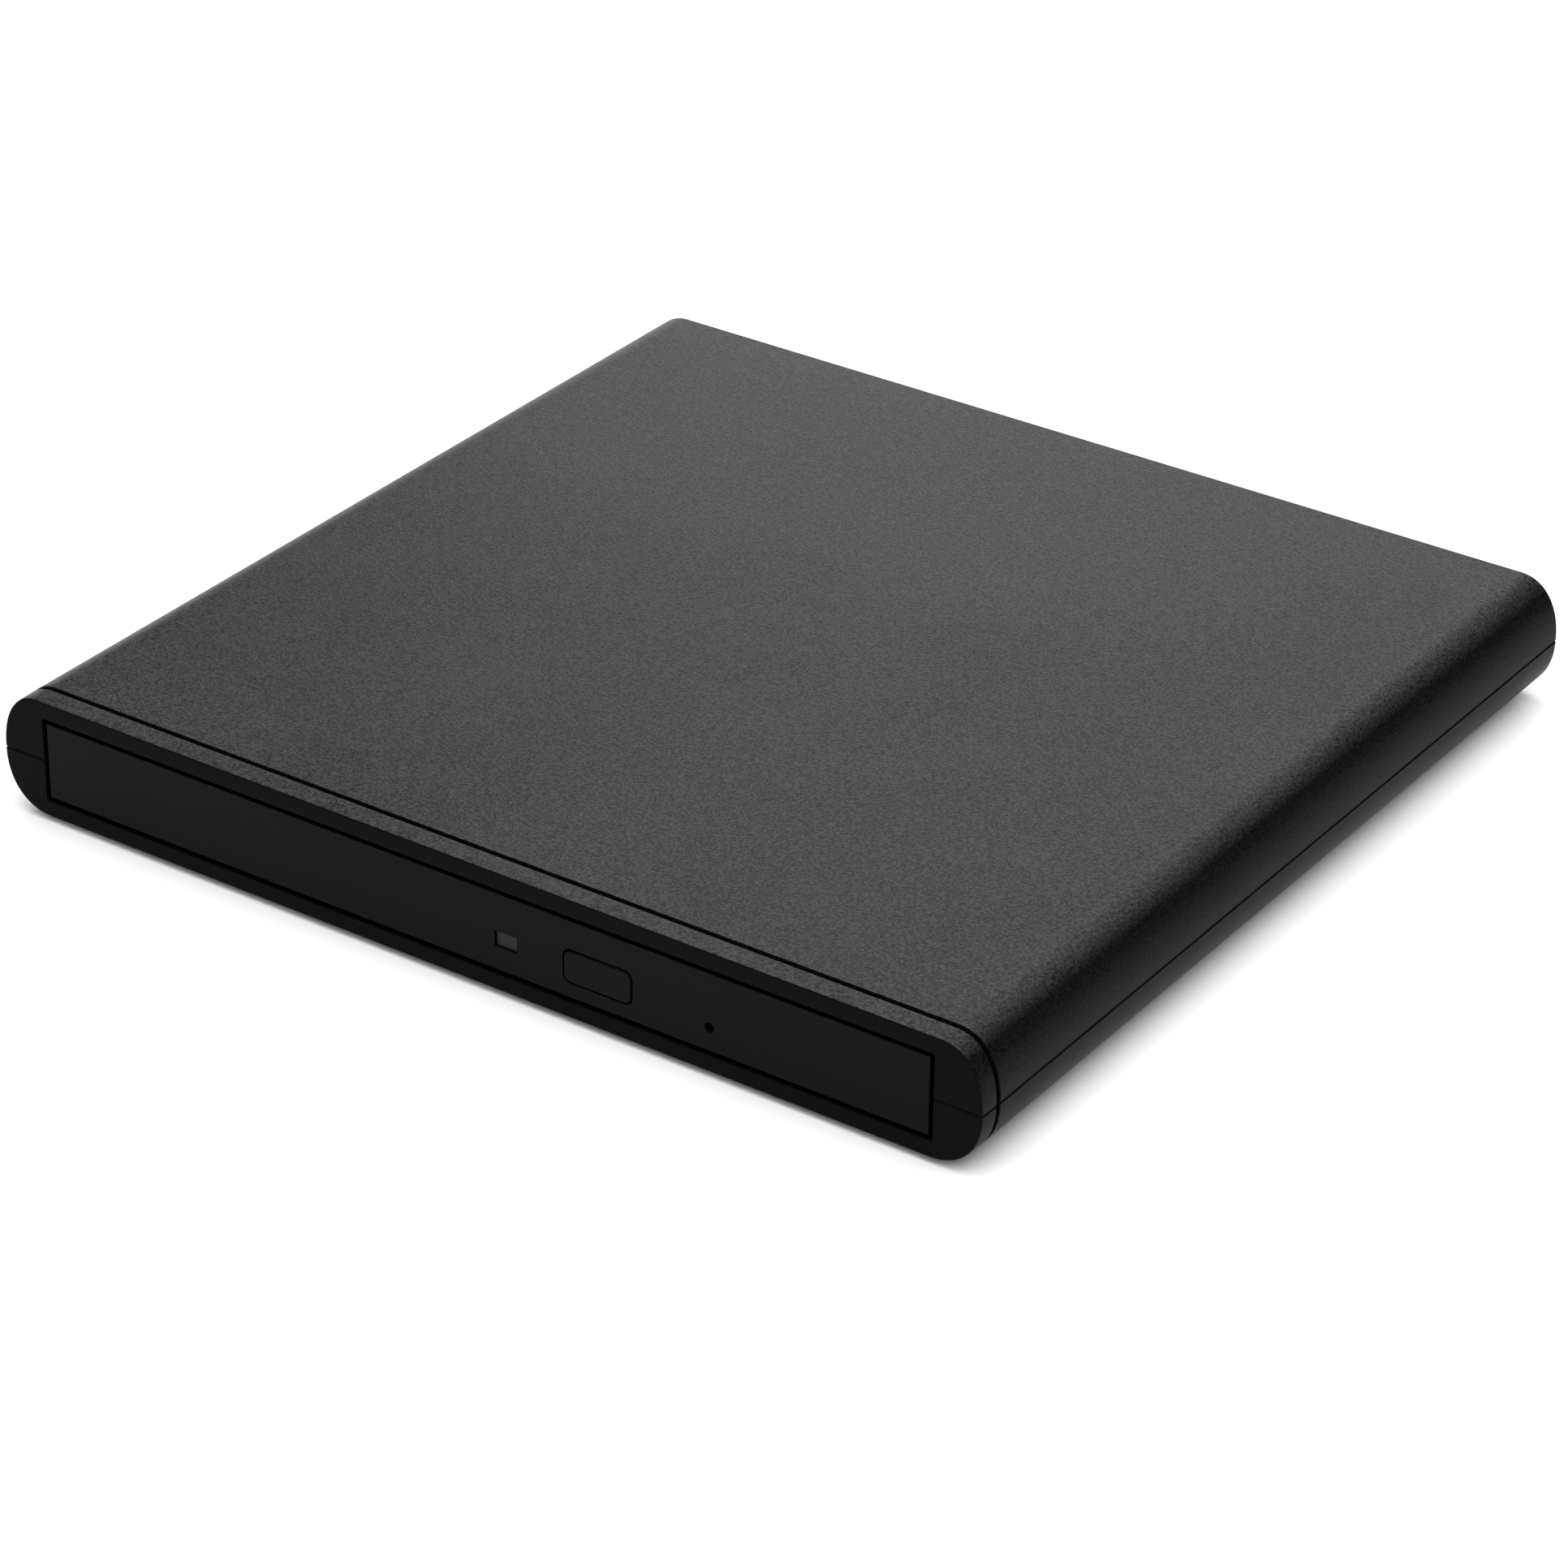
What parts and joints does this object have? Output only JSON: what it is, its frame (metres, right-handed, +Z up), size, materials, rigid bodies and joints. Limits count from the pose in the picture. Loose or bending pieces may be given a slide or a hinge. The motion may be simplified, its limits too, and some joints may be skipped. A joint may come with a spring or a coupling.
{
  "type": "external optical drive",
  "caption": "Slim external optical disc drive: rounded two-shell case, front trim groove, sliding tray with eject button, indicator window and pinhole.",
  "frame": {"origin": "centre of the bounding box in plan, at the underside of the rubber feet, with the tray closed", "axes": "+Z up; -Y is the front, where the tray comes out; +X is to the right seen from the front"},
  "size_m": [0.142, 0.136, 0.0168],
  "materials": {
    "shell_top": "fine speckled matte texture",
    "shell_bottom": "matte moulded",
    "bezel": "smooth satin moulded",
    "feet": "matte rubber",
    "screws": "bright zinc",
    "board": "green lacquered circuit board",
    "chips": "black moulded package",
    "can": "drawn metal can",
    "capacitor": "fired ceramic",
    "connector": "black moulded connector",
    "usb_steel": "tin-plated steel",
    "case_steel": "galvanised sheet steel",
    "rail_steel": "cold-rolled steel",
    "guide_plastic": "white low-friction plastic",
    "flex": "amber polyimide film",
    "tray": "matte moulded",
    "lens_window": "translucent light pipe",
    "mechanism_plastic": "natural moulded plastic",
    "coil": "enamelled copper winding",
    "traverse": "black painted sheet steel",
    "damper_rubber": "soft rubber",
    "rod_steel": "ground and polished steel",
    "brass_screw": "machined",
    "turntable": "satin moulded",
    "sled_alloy": "die-cast",
    "optic": "coated lens"
  },
  "bodies": {
    "housing": {"upper_shell": "shell_top", "lower_shell": "shell_bottom", "rubber_feet": "feet", "case_screws": "screws", "bridge_board": "board", "bridge_chip": "chips", "clock_crystal": "can", "board_capacitors": "capacitor", "board_screws": "screws", "usb_socket_shell": "usb_steel", "usb_socket_insert": "connector", "sata_receptacle": "connector", "drive_base_pan": "case_steel", "drive_top_cover": "case_steel", "cover_screws": "screws", "rail_screws": "screws", "rail_guide_left": "guide_plastic", "rail_guide_right": "guide_plastic", "latch_striker": "rod_steel", "main_board": "board", "main_board_chips": "chips", "sata_plug": "connector", "flex_cable": "flex"},
    "left_rail": {"rail_left": "rail_steel"},
    "right_rail": {"rail_right": "rail_steel"},
    "tray": {"tray": "tray", "tray_bezel": "bezel", "led_lens": "lens_window", "front_board": "board", "tact_switch": "chips", "tray_underside_cover": "case_steel", "ejector_plunger": "mechanism_plastic", "latch_solenoid": "coil", "latch_pivot_pin": "rod_steel", "traverse_frame": "traverse", "traverse_cover": "traverse", "traverse_dampers": "damper_rubber", "traverse_screws": "screws", "guide_rods": "rod_steel", "stepper_motor": "can", "spindle_stator": "coil"},
    "latch": {"latch_lever": "mechanism_plastic"},
    "eject_button": {"eject_button": "bezel"},
    "lead_screw": {"lead_screw": "brass_screw"},
    "spindle": {"spindle_rotor": "can", "turntable": "turntable", "turntable_ring": "damper_rubber"},
    "claw_1": {"hub_claw_1": "mechanism_plastic"},
    "claw_2": {"hub_claw_2": "mechanism_plastic"},
    "claw_3": {"hub_claw_3": "mechanism_plastic"},
    "sled": {"pickup_sled": "sled_alloy"},
    "lens": {"lens_holder": "turntable", "pickup_lens": "optic"}
  },
  "joints": [
    {"name": "tray_slide", "type": "slide", "parent": "housing", "child": "tray", "axis": [0, -1, 0], "range_m": [0, 0.13]},
    {"name": "left_rail_slide", "type": "slide", "parent": "housing", "child": "left_rail", "axis": [0, -1, 0], "range_m": [0, 0.065]},
    {"name": "right_rail_slide", "type": "slide", "parent": "housing", "child": "right_rail", "axis": [0, -1, 0], "range_m": [0, 0.065]},
    {"name": "eject_button_press", "type": "slide", "parent": "tray", "child": "eject_button", "axis": [0, 1, 0], "range_m": [0, 0.0006], "stiffness_N_per_m": 400},
    {"name": "latch_pivot", "type": "hinge", "parent": "tray", "child": "latch", "pos_m": [0.0475, -0.048, 0.0065], "axis": [0, 0, 1], "range_deg": [0, 22], "stiffness_Nm_per_rad": 0.002},
    {"name": "spindle_spin", "type": "hinge", "parent": "tray", "child": "spindle", "pos_m": [0, -0.0025, 0.0075], "axis": [0, 0, 1], "continuous": true},
    {"name": "sled_travel", "type": "slide", "parent": "tray", "child": "sled", "axis": [-0.7071, -0.7071, 0], "range_m": [0, 0.0345]},
    {"name": "lead_screw_turn", "type": "hinge", "parent": "tray", "child": "lead_screw", "pos_m": [-0.01047, -0.03446, 0.0076], "axis": [-0.7071, -0.7071, 0], "range_deg": [-10, 4150]},
    {"name": "lens_focus", "type": "slide", "parent": "sled", "child": "lens", "axis": [0, 0, 1], "range_m": [-0.00035, 0.00035], "stiffness_N_per_m": 120},
    {"name": "claw_1_spring", "type": "slide", "parent": "spindle", "child": "claw_1", "axis": [0, -1, 0], "range_m": [0, 0.0005], "stiffness_N_per_m": 300},
    {"name": "claw_2_spring", "type": "slide", "parent": "spindle", "child": "claw_2", "axis": [0.866, 0.5, 0], "range_m": [0, 0.0005], "stiffness_N_per_m": 300},
    {"name": "claw_3_spring", "type": "slide", "parent": "spindle", "child": "claw_3", "axis": [-0.866, 0.5, 0], "range_m": [0, 0.0005], "stiffness_N_per_m": 300}
  ],
  "couplings": [
    {"joint": "left_rail_slide", "follows": "tray_slide", "ratio": 0.5},
    {"joint": "right_rail_slide", "follows": "tray_slide", "ratio": 0.5},
    {"joint": "lead_screw_turn", "follows": "sled_travel", "rad_per_m": 2094.4}
  ]
}
